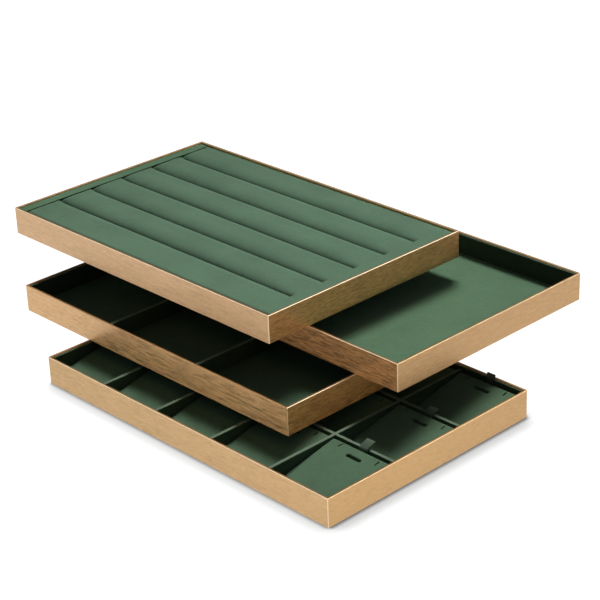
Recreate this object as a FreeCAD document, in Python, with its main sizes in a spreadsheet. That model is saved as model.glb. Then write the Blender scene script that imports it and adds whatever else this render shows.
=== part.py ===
import FreeCAD, Part
import math
import os
import Sketcher

# A set of four stacking jewellery trays of one footprint: a pendant tray at the bottom, then a
# bangle tray, a flat tray and a ring tray, each set down crosswise on the rim of the one below.
# Millimetres. Origin: centre of the bottom tray's underside. X along the trays' long sides,
# Y along their short sides, Z up.

doc = FreeCAD.newDocument("JewelryTraySet")
sheet = doc.addObject("Spreadsheet::Sheet", "Dims")

DIMS = [
    # footprint shared by the four trays
    ("tray_length", 320.0), ("tray_width", 215.0), ("tray_height", 23.5),
    # flat metal rails, mitred, with broken top edges and corners
    ("rail_thickness", 2.0), ("edge_break", 0.35), ("corner_break", 0.6),
    # underside
    ("felt_thickness", 2.0), ("board_thickness", 2.5), ("gusset_leg", 26.0), ("gusset_lift", 0.3),
    # covered strips and floors
    ("lining_thickness", 1.3), ("lining_top", 22.5), ("floor_thickness", 1.2),
    ("side_gap", 0.2),
    # where each tray stands in the stack
    ("ring_x", -134.2), ("ring_y", 73.2),
    ("flat_x", -40.2), ("flat_y", 113.9),
    ("bangle_x", -83.5), ("bangle_y", 41.8),
    # ring insert
    ("insert_board_thickness", 2.5), ("insert_top", 22.7), ("slit_width", 0.7),
    ("seam_x", -146.3), ("slit_end_x", 146.3), ("ring_lining_top", 20.0), ("roll_shoulder", 3.2), ("roll_crown", 0.5),
    ("strip_drop", 0.1), ("strip_gap", 0.8),
    # dividers
    ("divider_thickness", 3.0), ("divider_top", 20.3), ("lap_gap", 0.05),
    # sloping flaps of the pendant tray
    ("flap_half_thickness", 1.5), ("flap_tilt", 10.5), ("flap_length", 64.4),
    ("flap_side_gap", 1.05), ("flap_front_gap", 0.4), ("flap_floor_gap", 0.3),
    ("tab_width", 8.0), ("tab_thickness", 1.2), ("tab_root", 1.1), ("folded_tab_length", 8.0),
    # a tab crosses the gap behind its flap, then bends back over the divider, or stands up
    # against the back wall
    ("tab_set", 0.55), ("tab_bend", 2.0), ("tab_lean", 12.0), ("tab_reach", 8.9),
    ("wall_tab_bend", 2.6), ("wall_tab_lean", 63.0), ("wall_tab_reach", 4.8),
    ("support_width", 50.0), ("support_depth", 9.0), ("support_inset", 11.0),
]
VALUES = {}
for row, (alias, value) in enumerate(DIMS, start=1):
    sheet.set("A%d" % row, alias)
    sheet.set("B%d" % row, "%g" % value)
    sheet.setAlias("B%d" % row, alias)
    VALUES[alias] = value
doc.recompute()


class Dim:
    """A length with its present value and the sheet expression that drives it."""

    def __init__(self, value, text):
        self.value = float(value)
        self.text = text

    @staticmethod
    def of(other):
        if isinstance(other, Dim):
            return other
        return Dim(other, "%.9g" % other)

    def __add__(self, other):
        other = Dim.of(other)
        return Dim(self.value + other.value, "(%s + %s)" % (self.text, other.text))

    __radd__ = __add__

    def __sub__(self, other):
        other = Dim.of(other)
        return Dim(self.value - other.value, "(%s - %s)" % (self.text, other.text))

    def __rsub__(self, other):
        return Dim.of(other) - self

    def __mul__(self, other):
        other = Dim.of(other)
        return Dim(self.value * other.value, "(%s * %s)" % (self.text, other.text))

    __rmul__ = __mul__

    def __truediv__(self, other):
        other = Dim.of(other)
        return Dim(self.value / other.value, "(%s / %s)" % (self.text, other.text))

    def __neg__(self):
        return Dim(-self.value, "(0 - %s)" % self.text)


def dim(alias):
    return Dim(VALUES[alias], "Dims." + alias)


def sine(angle):
    return Dim(math.sin(math.radians(angle.value)), "sin(%s * 1 deg)" % angle.text)


def cosine(angle):
    return Dim(math.cos(math.radians(angle.value)), "cos(%s * 1 deg)" % angle.text)


nodes = []


def node(obj, name):
    obj.Label = name
    nodes.append((name, obj))
    return obj


def place(obj, x, y, z, axis=(0, 0, 1), degrees=0.0):
    x, y, z = Dim.of(x), Dim.of(y), Dim.of(z)
    obj.Placement = FreeCAD.Placement(FreeCAD.Vector(x.value, y.value, z.value),
                                      FreeCAD.Rotation(FreeCAD.Vector(*axis), degrees))
    obj.setExpression("Placement.Base.x", x.text)
    obj.setExpression("Placement.Base.y", y.text)
    obj.setExpression("Placement.Base.z", z.text)


def box(name, x0, x1, y0, y1, z0, z1):
    x0, x1, y0, y1, z0, z1 = [Dim.of(v) for v in (x0, x1, y0, y1, z0, z1)]
    b = doc.addObject("Part::Box", name)
    b.setExpression("Length", (x1 - x0).text)
    b.setExpression("Width", (y1 - y0).text)
    b.setExpression("Height", (z1 - z0).text)
    place(b, x0, y0, z0)
    return b


def group(name, members):
    g = doc.addObject("Part::Compound", name)
    g.Links = members
    return g


def plane(body, role):
    for feature in body.Origin.OriginFeatures:
        if feature.Role == role:
            return feature
    raise ValueError(role)


def outline(body, name, role, loops):
    """A sketch of closed polygons, each corner held by the sheet."""
    sketch = body.newObject("Sketcher::SketchObject", name)
    sketch.AttachmentSupport = [(plane(body, role), "")]
    sketch.MapMode = "FlatFace"
    start = 0
    for loop in loops:
        loop = [(Dim.of(u), Dim.of(v)) for u, v in loop]
        count = len(loop)
        for i in range(count):
            a, b = loop[i], loop[(i + 1) % count]
            sketch.addGeometry(Part.LineSegment(FreeCAD.Vector(a[0].value, a[1].value, 0),
                                                FreeCAD.Vector(b[0].value, b[1].value, 0)), False)
        for i in range(count):
            sketch.addConstraint(Sketcher.Constraint("Coincident", start + i, 2,
                                                     start + (i + 1) % count, 1))
        for i, (u, v) in enumerate(loop):
            for kind, line, d in (("DistanceX", -2, u), ("DistanceY", -1, v)):
                if abs(d.value) < 1e-9:
                    sketch.addConstraint(Sketcher.Constraint("PointOnObject", start + i, 1, line))
                else:
                    index = sketch.addConstraint(
                        Sketcher.Constraint(kind, -1, 1, start + i, 1, d.value))
                    sketch.setExpression("Constraints[%d]" % index, d.text)
        start += count
    return sketch


def pad(body, name, sketch, length, symmetric=False):
    feature = body.newObject("PartDesign::Pad", name)
    feature.Profile = sketch
    feature.Length = Dim.of(length).value
    feature.setExpression("Length", Dim.of(length).text)
    if symmetric:
        feature.SideType = "Symmetric"
    body.Tip = feature
    return feature


def pocket(body, name, sketch, length):
    feature = body.newObject("PartDesign::Pocket", name)
    feature.Profile = sketch
    feature.SideType = "Symmetric"
    feature.Length = Dim.of(length).value
    feature.setExpression("Length", Dim.of(length).text)
    body.Tip = feature
    return feature


L, W, H = dim("tray_length"), dim("tray_width"), dim("tray_height")
RT, LT = dim("rail_thickness"), dim("lining_thickness")
GAP = dim("side_gap")
BOARD_Z = dim("felt_thickness")
BOARD_TOP = BOARD_Z + dim("board_thickness")
FLOOR_TOP = BOARD_TOP + dim("floor_thickness")
RX, RY = L / 2 - RT, W / 2 - RT            # inside the rails
IX, IY = RX - LT, RY - LT                  # inside the lining
DT = dim("divider_thickness")

ORIGINS = {
    "pendant": (Dim.of(0), Dim.of(0), Dim.of(0)),
    "bangle": (dim("bangle_x"), dim("bangle_y"), H),
    "flat": (dim("flat_x"), dim("flat_y"), 2 * H),
    "ring": (dim("ring_x"), dim("ring_y"), 3 * H),
}


def rail(tray, side, length, angle, x, y, z):
    """A flat metal strip on edge, its outer face on y = 0, mitred at both ends."""
    name = "%s_%s_rail" % (tray, side)
    body = doc.addObject("PartDesign::Body", name)
    e, c = dim("edge_break"), dim("corner_break")
    section = outline(body, name + "_section", "YZ_Plane", [[
        (0, 0), (RT, 0), (RT, H - e), (RT - e, H), (e, H), (0, H - e)]])
    pad(body, name + "_strip", section, length, symmetric=True)
    far = length / 2
    ends = []
    for s in (1, -1):
        ends.append([(s * (far - c), -2), (s * (far - c), 0), (s * (far - c / 2), c / 2),
                     (s * (far - 4 * RT), 4 * RT), (s * (far + 2), 4 * RT), (s * (far + 2), -2)])
    mitres = outline(body, name + "_mitres", "XY_Plane", ends)
    pocket(body, name + "_mitred", mitres, 4 * H)
    place(body, x, y, z, (0, 0, 1), angle)
    return node(body, name)


def tray_shell(tray, floor):
    """Rails, corner gussets, board, felt and lining strips of one tray."""
    cx, cy, z = ORIGINS[tray]
    rail(tray, "front", L, 0, cx, cy - W / 2, z)
    rail(tray, "right", W, 90, cx + L / 2, cy, z)
    rail(tray, "back", L, 180, cx, cy + W / 2, z)
    rail(tray, "left", W, 270, cx - L / 2, cy, z)

    # triangular plates that tie the mitred corners together from below
    leg = dim("gusset_leg")
    plates = []
    for i, (sx, sy) in enumerate(((-1, -1), (1, -1), (1, 1), (-1, 1)), start=1):
        body = doc.addObject("PartDesign::Body", "%s_gusset_%d" % (tray, i))
        tri = outline(body, "%s_gusset_outline_%d" % (tray, i), "XY_Plane", [[
            (sx * RX, sy * RY), (sx * (RX - leg), sy * RY), (sx * RX, sy * (RY - leg))]])
        pad(body, "%s_gusset_plate_%d" % (tray, i), tri, BOARD_Z - dim("gusset_lift"))
        place(body, cx, cy, z + dim("gusset_lift"))
        plates.append(body)
    node(group("%s_corner_gussets" % tray, plates), "%s_corner_gussets" % tray)

    # felt with its corners cut off for the gussets
    cut = leg + 0.6
    body = doc.addObject("PartDesign::Body", "%s_base_felt" % tray)
    fx, fy = RX - GAP, RY - GAP
    octagon = outline(body, "%s_felt_outline" % tray, "XY_Plane", [[
        (fx - cut, -fy), (fx, cut - fy), (fx, fy - cut), (fx - cut, fy),
        (cut - fx, fy), (-fx, fy - cut), (-fx, cut - fy), (cut - fx, -fy)]])
    pad(body, "%s_felt_sheet" % tray, octagon, BOARD_Z)
    place(body, cx, cy, z)
    node(body, "%s_base_felt" % tray)

    node(box("%s_base_board" % tray, cx - RX, cx + RX, cy - RY, cy + RY,
             z + BOARD_Z, z + BOARD_TOP), "%s_base_board" % tray)

    lo = z + BOARD_TOP
    hi = z + dim("ring_lining_top" if tray == "ring" else "lining_top")
    strips = [
        box("%s_lining_front" % tray, cx - RX, cx + RX, cy - RY, cy - IY, lo, hi),
        box("%s_lining_back" % tray, cx - RX, cx + RX, cy + IY, cy + RY, lo, hi),
        box("%s_lining_left" % tray, cx - RX, cx - IX, cy - IY, cy + IY, lo, hi),
        box("%s_lining_right" % tray, cx + IX, cx + RX, cy - IY, cy + IY, lo, hi),
    ]
    node(group("%s_wall_lining" % tray, strips), "%s_wall_lining" % tray)

    if floor:
        node(box("%s_floor_pad" % tray, cx - IX, cx + IX, cy - IY, cy + IY,
                 z + BOARD_TOP, z + FLOOR_TOP), "%s_floor_pad" % tray)
    return cx, cy, z


# ---------------------------------------------------------------- pendant tray, at the bottom
cx, cy, cz = tray_shell("pendant", False)
COL = (2 * IX - 4 * DT) / 5 + DT           # column pitch
ROW = (2 * IY - 2 * DT) / 3 + DT           # row pitch
CELL_X, CELL_Y = COL - DT, ROW - DT
DTOP = dim("divider_top")
LAP = dim("lap_gap")
MID = (BOARD_TOP + DTOP) / 2

cross = []
for i, k in enumerate((-1.5, -0.5, 0.5, 1.5), start=1):
    x = cx + k * COL
    blank = box("pendant_cross_blank_%d" % i, x - DT / 2, x + DT / 2, cy - IY, cy + IY,
                cz + BOARD_TOP, cz + DTOP)
    notches = group("pendant_cross_notches_%d" % i, [
        box("pendant_cross_notch_%d_%d" % (i, j), x - DT, x + DT,
            cy + s * ROW / 2 - DT / 2 - LAP, cy + s * ROW / 2 + DT / 2 + LAP,
            cz, cz + MID) for j, s in enumerate((-1, 1), start=1)])
    cut = doc.addObject("Part::Cut", "pendant_cross_%d" % i)
    cut.Base, cut.Tool = blank, notches
    cross.append(cut)
node(group("pendant_cross_dividers", cross), "pendant_cross_dividers")

for side, s in (("front", -1), ("back", 1)):
    y = cy + s * ROW / 2
    blank = box("pendant_long_blank_%s" % side, cx - IX, cx + IX, y - DT / 2, y + DT / 2,
                cz + BOARD_TOP, cz + DTOP)
    notches = group("pendant_long_notches_%s" % side, [
        box("pendant_long_notch_%s_%d" % (side, j),
            cx + k * COL - DT / 2 - LAP, cx + k * COL + DT / 2 + LAP, y - DT, y + DT,
            cz + MID, cz + H) for j, k in enumerate((-1.5, -0.5, 0.5, 1.5), start=1)])
    cut = doc.addObject("Part::Cut", "pendant_long_divider_%s" % side)
    cut.Base, cut.Tool = blank, notches
    node(cut, "pendant_long_divider_%s" % side)

# Each cell holds a padded flap that slopes up from the front. Its low edge is round, and the
# flap turns about the centre of that round when it is lifted by its tab.
FR = dim("flap_half_thickness")
TILT = dim("flap_tilt")
FLEN = dim("flap_length")
SIN, COS = sine(TILT), cosine(TILT)
HINGE_Z = cz + BOARD_TOP + dim("flap_floor_gap") + FR
TW, TT = dim("tab_width"), dim("tab_thickness")


def cell(col, row):
    x = cx + (col - 2) * COL
    front = cy + (row - 1) * ROW - CELL_Y / 2
    return x, front + dim("flap_front_gap") + FR


def flap(name, col, row):
    x, hinge_y = cell(col, row)
    body = doc.addObject("PartDesign::Body", name)
    sketch = body.newObject("Sketcher::SketchObject", name + "_section")
    sketch.AttachmentSupport = [(plane(body, "YZ_Plane"), "")]
    sketch.MapMode = "FlatFace"
    r, n = FR.value, FLEN.value
    V = FreeCAD.Vector
    sketch.addGeometry(Part.LineSegment(V(0, -r, 0), V(n, -r, 0)), False)
    sketch.addGeometry(Part.LineSegment(V(n, -r, 0), V(n, r, 0)), False)
    sketch.addGeometry(Part.LineSegment(V(n, r, 0), V(0, r, 0)), False)
    sketch.addGeometry(Part.ArcOfCircle(Part.Circle(V(0, 0, 0), V(0, 0, 1), r),
                                        math.pi / 2, 3 * math.pi / 2), False)
    add = lambda *a: sketch.addConstraint(Sketcher.Constraint(*a))
    add("Coincident", 0, 2, 1, 1)
    add("Coincident", 1, 2, 2, 1)
    add("Coincident", 3, 3, -1, 1)
    add("Tangent", 2, 2, 3, 1)
    add("Tangent", 3, 2, 0, 1)
    add("Horizontal", 0)
    add("Vertical", 1)
    index = add("Radius", 3, r)
    sketch.setExpression("Constraints[%d]" % index, FR.text)
    index = add("DistanceX", -1, 1, 0, 2, n)
    sketch.setExpression("Constraints[%d]" % index, FLEN.text)
    pad(body, name + "_slab", sketch, CELL_X - 2 * dim("flap_side_gap"), symmetric=True)
    place(body, x, hinge_y, HINGE_Z, (1, 0, 0), TILT.value)
    return body


def on_flap(name, col, row, y0, y1, z0, z1):
    """A box that lies on a flap: y along the flap from its hinge, z square to it."""
    x, hinge_y = cell(col, row)
    b = doc.addObject("Part::Box", name)
    b.setExpression("Length", TW.text)
    b.setExpression("Width", (y1 - y0).text)
    b.setExpression("Height", (z1 - z0).text)
    place(b, x - TW / 2, hinge_y + y0 * COS - z0 * SIN,
          HINGE_Z + y0 * SIN + z0 * COS,
          (1, 0, 0), TILT.value)
    return b


def standing_tab(name, col, row, kind):
    """A doubled ribbon fixed low on the flap's high end, which rises close to the divider or wall
    and is bent back at an angle to the flap."""
    x, hinge_y = cell(col, row)
    root, bend, reach = -dim("tab_root"), dim(kind + "_bend"), dim(kind + "_reach")
    sn, cs = sine(dim(kind + "_lean")), cosine(dim(kind + "_lean"))
    inner = FLEN + dim("tab_set")
    outer = inner + TT
    tip_y, tip_z = outer + reach * cs, bend + reach * sn
    body = doc.addObject("PartDesign::Body", name)
    section = outline(body, name + "_section", "YZ_Plane", [[
        (FLEN, root), (outer, root), (outer, bend), (tip_y, tip_z),
        (tip_y - TT * sn, tip_z + TT * cs), (inner, bend + TT * cs - TT * (1 - sn) * sn / cs),
        (inner, root + TT), (FLEN, root + TT)]])
    pad(body, name + "_ribbon", section, TW, symmetric=True)
    place(body, x, hinge_y, HINGE_Z, (1, 0, 0), TILT.value)
    return body


def folded_tab(name, col, row):
    end = FLEN - 1
    return on_flap(name, col, row, end - dim("folded_tab_length"), end, FR, FR + TT)


RIGHT = 4
for row, place_name in enumerate(("front", "middle", "back")):
    node(flap("pendant_flap_%s" % place_name, RIGHT, row), "pendant_flap_%s" % place_name)
    kind = "wall_tab" if place_name == "back" else "tab"
    node(standing_tab("pendant_tab_%s" % place_name, RIGHT, row, kind),
         "pendant_tab_%s" % place_name)

covered = [(c, r) for r in range(3) for c in range(4)]
node(group("pendant_flaps_covered",
           [flap("pendant_flap_c%d_r%d" % (c + 1, r + 1), c, r) for c, r in covered]),
     "pendant_flaps_covered")
node(group("pendant_tabs_covered",
           [folded_tab("pendant_tab_c%d_r%d" % (c + 1, r + 1), c, r) for c, r in covered]),
     "pendant_tabs_covered")

# blocks that hold up the flaps' high ends
SUPPORT_Z = (HINGE_Z + (FLEN - dim("support_inset")) * SIN - FR * COS - dim("flap_floor_gap"))
supports = []
for r in range(3):
    for c in range(5):
        x, hinge_y = cell(c, r)
        y = hinge_y + (FLEN - dim("support_inset")) * COS
        supports.append(box("pendant_support_c%d_r%d" % (c + 1, r + 1),
                            x - dim("support_width") / 2, x + dim("support_width") / 2,
                            y, y + dim("support_depth"), cz + BOARD_TOP, SUPPORT_Z))
node(group("pendant_flap_supports", supports), "pendant_flap_supports")

# ---------------------------------------------------------------- bangle tray
cx, cy, cz = tray_shell("bangle", True)
BCOL = (2 * IX - 2 * DT) / 3 + DT
BMID = (FLOOR_TOP + DTOP) / 2
blank = box("bangle_long_blank", cx - IX, cx + IX, cy - DT / 2, cy + DT / 2,
            cz + FLOOR_TOP, cz + DTOP)
notches = group("bangle_long_notches", [
    box("bangle_long_notch_%d" % j, cx + s * BCOL / 2 - DT / 2 - LAP,
        cx + s * BCOL / 2 + DT / 2 + LAP, cy - DT, cy + DT, cz + BMID, cz + H)
    for j, s in enumerate((-1, 1), start=1)])
cut = doc.addObject("Part::Cut", "bangle_long_divider")
cut.Base, cut.Tool = blank, notches
node(cut, "bangle_long_divider")
for side, s in (("left", -1), ("right", 1)):
    x = cx + s * BCOL / 2
    blank = box("bangle_cross_blank_%s" % side, x - DT / 2, x + DT / 2, cy - IY, cy + IY,
                cz + FLOOR_TOP, cz + DTOP)
    notch = box("bangle_cross_notch_%s" % side, x - DT, x + DT, cy - DT / 2 - LAP,
                cy + DT / 2 + LAP, cz, cz + BMID)
    cut = doc.addObject("Part::Cut", "bangle_cross_divider_%s" % side)
    cut.Base, cut.Tool = blank, notch
    node(cut, "bangle_cross_divider_%s" % side)

# ---------------------------------------------------------------- flat tray
tray_shell("flat", True)

# ---------------------------------------------------------------- ring tray, on top
cx, cy, cz = tray_shell("ring", False)
SEAM, SLIT_END = dim("seam_x"), dim("slit_end_x")
ROLL_BASE = BOARD_TOP + dim("insert_board_thickness")
TOP = dim("insert_top")
node(box("ring_insert_board", cx + SEAM, cx + IX - GAP, cy - IY + GAP, cy + IY - GAP,
         cz + BOARD_TOP, cz + ROLL_BASE), "ring_insert_board")
PITCH = 2 * IY / 6
HALF = (PITCH - dim("slit_width")) / 2
TALL = TOP - ROLL_BASE
R, CR = dim("roll_shoulder"), dim("roll_crown")
for k in range(6):
    name = "ring_roll_%d" % (k + 1)
    body = doc.addObject("PartDesign::Body", name)
    section = outline(body, name + "_section", "YZ_Plane", [[
        (-HALF, 0), (HALF, 0), (HALF, TALL - R),
        (HALF - 0.3 * R, TALL - 0.42 * R), (HALF - R, TALL - CR * 0.62),
        (HALF * 0.45, TALL - CR * 0.12), (0, TALL), (-HALF * 0.45, TALL - CR * 0.12),
        (R - HALF, TALL - CR * 0.62), (0.3 * R - HALF, TALL - 0.42 * R), (-HALF, TALL - R)]])
    pad(body, name + "_bar", section, SLIT_END - SEAM)
    place(body, cx + SEAM, cy - IY + (k + 0.5) * PITCH, cz + ROLL_BASE)
    node(body, name)


def capped_bar(name, points):
    """A bar along Y whose upper part reaches over the lining to the rail."""
    body = doc.addObject("PartDesign::Body", name)
    section = outline(body, name + "_section", "XZ_Plane", [points])
    pad(body, name + "_bar", section, 2 * (IY - GAP), symmetric=True)
    place(body, cx, cy, cz)
    return node(body, name)


OVER = dim("ring_lining_top") + GAP
STRIP_TOP = TOP - dim("strip_drop")
STRIP_X = SEAM - dim("strip_gap")
capped_bar("ring_end_bar", [
    (SLIT_END, ROLL_BASE), (IX - GAP, ROLL_BASE), (IX - GAP, OVER), (RX - GAP, OVER),
    (RX - GAP, STRIP_TOP), (SLIT_END, STRIP_TOP)])
capped_bar("ring_filler_strip", [
    (STRIP_X, BOARD_TOP), (STRIP_X, STRIP_TOP), (GAP - RX, STRIP_TOP), (GAP - RX, OVER),
    (GAP - IX, OVER), (GAP - IX, BOARD_TOP)])

doc.recompute()

# ---------------------------------------------------------------- checks, then the files
for obj in doc.Objects:
    bad = [s for s in obj.State if s in ("Invalid", "Error")]
    if bad:
        raise SystemExit("failed object: %s %s" % (obj.Name, obj.State))
if len(nodes) > 60 or len(set(n for n, _ in nodes)) != len(nodes):
    raise SystemExit("bad node list")
for name, obj in nodes:
    shape = obj.Shape
    if shape.isNull() or not shape.isValid() or not shape.Solids:
        raise SystemExit("bad shape: " + name)
    if min(s.Volume for s in shape.Solids) <= 0:
        raise SystemExit("bad volume: " + name)
strip = 320.0 * 2.0 * 23.5
front = [o for n, o in nodes if n == "ring_front_rail"][0]
print("rail volume", round(front.Shape.Volume, 1), "of a plain strip", strip)
os.makedirs("parts", exist_ok=True)
for name, obj in nodes:
    obj.Shape.exportStep("parts/%s.step" % name)
print(len(nodes), "nodes written")
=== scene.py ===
import math

import bmesh
import bpy
from mathutils import Matrix, Vector, noise
from mathutils.geometry import delaunay_2d_cdt


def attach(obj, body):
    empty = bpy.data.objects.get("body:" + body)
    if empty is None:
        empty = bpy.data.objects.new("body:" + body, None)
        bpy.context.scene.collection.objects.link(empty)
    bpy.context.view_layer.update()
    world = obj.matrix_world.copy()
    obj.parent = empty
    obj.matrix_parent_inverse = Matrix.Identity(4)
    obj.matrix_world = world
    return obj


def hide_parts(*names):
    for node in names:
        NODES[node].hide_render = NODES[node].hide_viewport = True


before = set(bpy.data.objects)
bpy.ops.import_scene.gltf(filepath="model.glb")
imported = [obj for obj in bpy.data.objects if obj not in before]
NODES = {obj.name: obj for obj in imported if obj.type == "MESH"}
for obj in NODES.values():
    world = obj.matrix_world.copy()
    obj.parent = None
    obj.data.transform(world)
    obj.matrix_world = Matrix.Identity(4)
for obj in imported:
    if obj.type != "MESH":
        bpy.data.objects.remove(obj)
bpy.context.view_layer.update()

# A fanned stack of four jewellery trays: brushed gold rails round green microfibre fittings.
# Lengths below are millimetres in the row frame unless a name says otherwise.

L, W, H = 320.0, 215.0, 23.5
RT, LT = 2.0, 1.3
RX, RY = L / 2 - RT, W / 2 - RT
IX, IY = RX - LT, RY - LT
BOARD_TOP, FLOOR_TOP, LINING_TOP, DIVIDER_TOP = 4.5, 5.7, 22.5, 20.3
RING_LINING_TOP = 20.0
DT = 3.0
ORIGIN = {"pendant": (0.0, 0.0, 0.0), "bangle": (-83.5, 41.8, H),
          "flat": (-40.2, 113.9, 2 * H), "ring": (-134.2, 73.2, 3 * H)}


# ------------------------------------------------------------------------------ camera
def make_camera():
    az, el, roll = (math.radians(a) for a in (46.91115, 25.37435, -2.20227))
    target = Vector((-0.1210471, 0.1364282, 0.0))
    distance = 1.6028922
    back = Vector((math.sin(az) * math.cos(el), -math.cos(az) * math.cos(el), math.sin(el)))
    right0 = Vector((math.cos(az), math.sin(az), 0.0))
    up0 = back.cross(right0)
    right = right0 * math.cos(roll) + up0 * math.sin(roll)
    up = up0 * math.cos(roll) - right0 * math.sin(roll)
    data = bpy.data.cameras.new("camera")
    data.sensor_width = 36.0
    data.lens = 1821.192 / 600.0 * 36.0
    data.clip_start, data.clip_end = 0.05, 50.0
    cam = bpy.data.objects.new("camera", data)
    bpy.context.scene.collection.objects.link(cam)
    place = target + back * distance
    cam.matrix_world = Matrix((
        (right.x, up.x, back.x, place.x), (right.y, up.y, back.y, place.y),
        (right.z, up.z, back.z, place.z), (0, 0, 0, 1)))
    bpy.context.scene.camera = cam


make_camera()


# ------------------------------------------------------------------------------ materials
class Tree:
    """A material's node tree, with short ways to add nodes."""

    def __init__(self, name):
        self.mat = bpy.data.materials.new(name)
        self.mat.use_nodes = True
        self.t = self.mat.node_tree
        self.bsdf = self.t.nodes["Principled BSDF"]

    def add(self, kind, **values):
        n = self.t.nodes.new(kind)
        for k, v in values.items():
            setattr(n, k, v)
        return n

    def link(self, a, b):
        self.t.links.new(a, b)

    def coords(self, scale):
        tc = self.add("ShaderNodeTexCoord")
        m = self.add("ShaderNodeMapping")
        m.inputs["Scale"].default_value = scale
        self.link(tc.outputs["Object"], m.inputs["Vector"])
        return m.outputs["Vector"]

    def noise(self, scale, detail=3.0, rough=0.55, distortion=0.0):
        n = self.add("ShaderNodeTexNoise")
        n.inputs["Scale"].default_value = 1.0
        n.inputs["Detail"].default_value = detail
        n.inputs["Roughness"].default_value = rough
        n.inputs["Distortion"].default_value = distortion
        self.link(self.coords(scale), n.inputs["Vector"])
        return n.outputs["Fac"]

    def mix(self, fac, a, b):
        n = self.add("ShaderNodeMix", data_type="FLOAT")
        n.inputs[0].default_value = fac
        self.link(a, n.inputs[2])
        self.link(b, n.inputs[3])
        return n.outputs[0]

    def ramp(self, fac, stops):
        r = self.add("ShaderNodeValToRGB")
        e = r.color_ramp.elements
        while len(e) < len(stops):
            e.new(0.5)
        for el, (pos, col) in zip(e, stops):
            el.position = pos
            el.color = (*col, 1.0)
        self.link(fac, r.inputs["Fac"])
        return r.outputs["Color"]

    def span(self, fac, lo, hi, a=0.3, b=0.7):
        m = self.add("ShaderNodeMapRange")
        m.inputs["From Min"].default_value = a
        m.inputs["From Max"].default_value = b
        m.inputs["To Min"].default_value = lo
        m.inputs["To Max"].default_value = hi
        self.link(fac, m.inputs["Value"])
        return m.outputs["Result"]

    def bump(self, height, distance, strength, under=None):
        b = self.add("ShaderNodeBump")
        b.inputs["Distance"].default_value = distance
        b.inputs["Strength"].default_value = strength
        self.link(height, b.inputs["Height"])
        if under is not None:
            self.link(under, b.inputs["Normal"])
        return b.outputs["Normal"]

    def set(self, **values):
        for k, v in values.items():
            self.bsdf.inputs[k.replace("_", " ")].default_value = v


def shade(col, k):
    return tuple(min(1.0, c * k) for c in col)


def brushed_gold(name, axis, outward, top_shade=(0.31, 0.165, 0.062), highlight=(0.86, 0.7, 0.48),
                 depth=1.0, gold=(0.545, 0.344, 0.16)):
    """Champagne gold with hairlines of a given depth drawn along the rail, with painted shade that
    makes its upper faces browner and painted highlights on the broken edges that face outward."""
    t = Tree(name)

    def along(run, across):
        return (run, across, across) if axis == "X" else (across, run, across)

    deep = depth > 1.5
    streak = t.noise(along(70, 1750) if deep else along(72, 1300), detail=3.0, rough=0.64)
    hair = t.noise(along(186, 1600), detail=3.0, rough=0.6)
    # a deep brushing is also uneven over a few millimetres
    cloud = t.noise(along(26, 110) if deep else (9, 9, 9), detail=1.0)
    both = t.mix(0.6 if deep else 0.65, streak, hair)
    both = t.mix(0.07 if deep else 0.12, both, cloud)
    face = t.ramp(both, [(0.37, shade(gold, 1 - 0.2 * depth)), (0.45, shade(gold, 1 - 0.04 * depth)),
                         (0.54, shade(gold, 1 + 0.04 * depth)),
                         (0.64, shade(gold, 1 + 0.16 * depth))])
    # painted shade: a browner tone for the upper faces and top chamfers
    rim = t.ramp(both, [(0.36, shade(top_shade, 0.8)), (0.5, top_shade), (0.64, shade(top_shade, 1.2))])
    # painted highlight: a pale tone for the broken edges, polished metal lit brighter than it is
    edge = t.ramp(both, [(0.30, shade(highlight, 0.9)), (0.6, highlight)])
    tc = t.add("ShaderNodeTexCoord")
    parts = t.add("ShaderNodeSeparateXYZ")
    t.link(tc.outputs["Normal"], parts.inputs[0])
    # a broken edge faces halfway between two of the axes, so its largest component is well below 1
    largest = None
    for out in parts.outputs:
        size = t.add("ShaderNodeMath", operation="ABSOLUTE")
        t.link(out, size.inputs[0])
        if largest is None:
            largest = size.outputs[0]
        else:
            top = t.add("ShaderNodeMath", operation="MAXIMUM")
            t.link(largest, top.inputs[0])
            t.link(size.outputs[0], top.inputs[1])
            largest = top.outputs[0]
    broken = t.span(largest, 1.0, 0.0, 0.78, 0.92)
    # only broken edges that face outward take the painted highlight
    out = t.add("ShaderNodeVectorMath", operation="DOT_PRODUCT")
    out.inputs[1].default_value = outward
    t.link(tc.outputs["Normal"], out.inputs[0])
    highlight_mask = t.add("ShaderNodeMath", operation="MULTIPLY")
    t.link(t.span(out.outputs["Value"], 0.0, 1.0, 0.3, 0.6), highlight_mask.inputs[0])
    t.link(broken, highlight_mask.inputs[1])
    colour = face
    # upper faces take the painted top shade, outward broken edges the painted highlight
    for fac, other in ((t.span(parts.outputs["Z"], 0.0, 1.0, 0.5, 0.65), rim),
                       (highlight_mask.outputs[0], edge)):
        m = t.add("ShaderNodeMix", data_type="RGBA")
        t.link(fac, m.inputs[0])
        t.link(colour, m.inputs[6])
        t.link(other, m.inputs[7])
        colour = m.outputs[2]
    t.link(colour, t.bsdf.inputs["Base Color"])
    t.link(t.span(both, 0.44, 0.28), t.bsdf.inputs["Roughness"])
    n = t.bump(hair, 0.00003, 0.2)
    t.link(t.bump(streak, 0.00004, 0.15, n), t.bsdf.inputs["Normal"])
    # the coarser hairlines are cut to bare metal and mirror more than the rest
    t.link(t.span(streak, 0.95, 0.46, 0.36, 0.54), t.bsdf.inputs["Metallic"])
    return t.mat


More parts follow.
